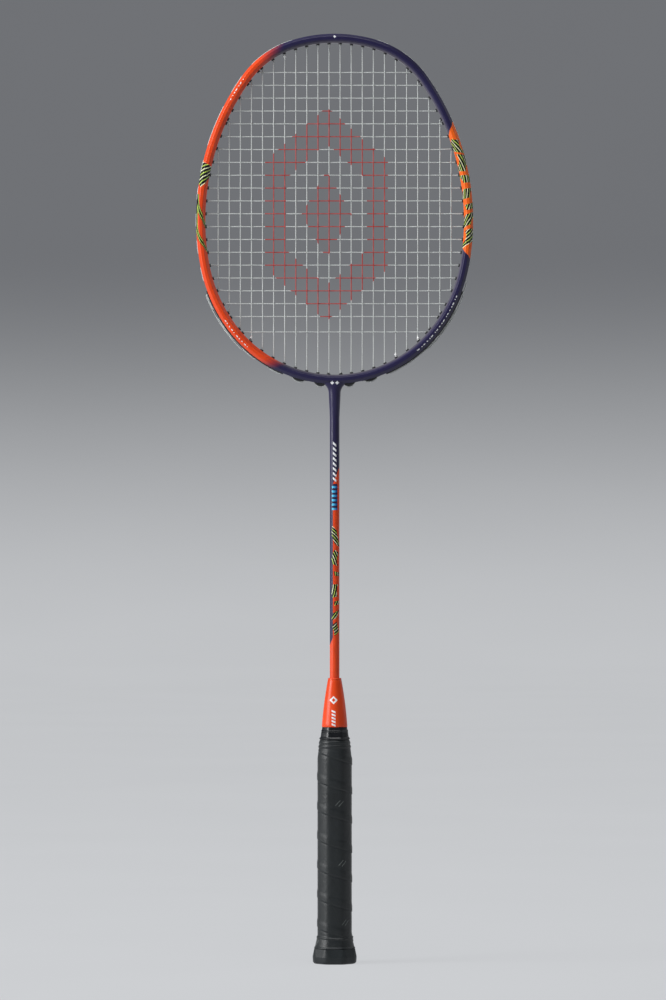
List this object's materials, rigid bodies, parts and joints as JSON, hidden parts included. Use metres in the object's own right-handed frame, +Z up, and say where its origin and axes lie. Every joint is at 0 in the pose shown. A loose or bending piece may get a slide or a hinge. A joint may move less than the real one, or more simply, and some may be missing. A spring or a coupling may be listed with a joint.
{
  "type": "badminton racket",
  "caption": "Strung badminton racket with an oval hollow head, woven strings in grommet strips, a slim shaft, a tapered cone and an octagonal wrapped handle with a flared butt cap.",
  "frame": {"origin": "centre of the butt cap's end face", "axes": "+Z up the shaft to the tip of the head, +X across the head, and the string bed in the XZ plane with the front towards -Y"},
  "size_m": [0.2017, 0.029, 0.675],
  "materials": {
    "frame_lacquer": "carbon tube, navy and orange lacquer",
    "shaft_lacquer": "carbon tube, orange and navy lacquer",
    "cone_lacquer": "moulded plastic, orange satin lacquer",
    "joint_plastic": "moulded, black",
    "core_wood": "plain turned and planed wood",
    "grip_wrap": "wound polyurethane band, charcoal, slightly tacky",
    "tape_film": "glossy black tape",
    "cap_plastic": "moulded, charcoal satin",
    "badge_plastic": "plain disc",
    "staple_steel": "bright wire",
    "grommet_nylon": "moulded nylon, black",
    "string_nylon": "coated braided nylon, white"
  },
  "bodies": {
    "root": {"head_frame": "frame_lacquer", "t_joint": "joint_plastic", "shaft": "shaft_lacquer", "cone": "cone_lacquer", "handle_core": "core_wood", "base_grip": "grip_wrap", "finishing_tape": "tape_film", "butt_cap": "cap_plastic", "butt_badge": "badge_plastic", "butt_staples": "staple_steel", "main_string": "string_nylon", "cross_string": "string_nylon", "grommets_tip": "grommet_nylon", "grommets_upper_left": "grommet_nylon", "grommets_upper_right": "grommet_nylon", "grommets_side_left": "grommet_nylon", "grommets_side_right": "grommet_nylon", "grommets_corner_left": "grommet_nylon", "grommets_corner_right": "grommet_nylon", "grommets_throat_outer_left": "grommet_nylon", "grommets_throat_outer_right": "grommet_nylon", "grommets_throat_inner_left": "grommet_nylon", "grommets_throat_inner_right": "grommet_nylon"}
  },
  "joints": []
}
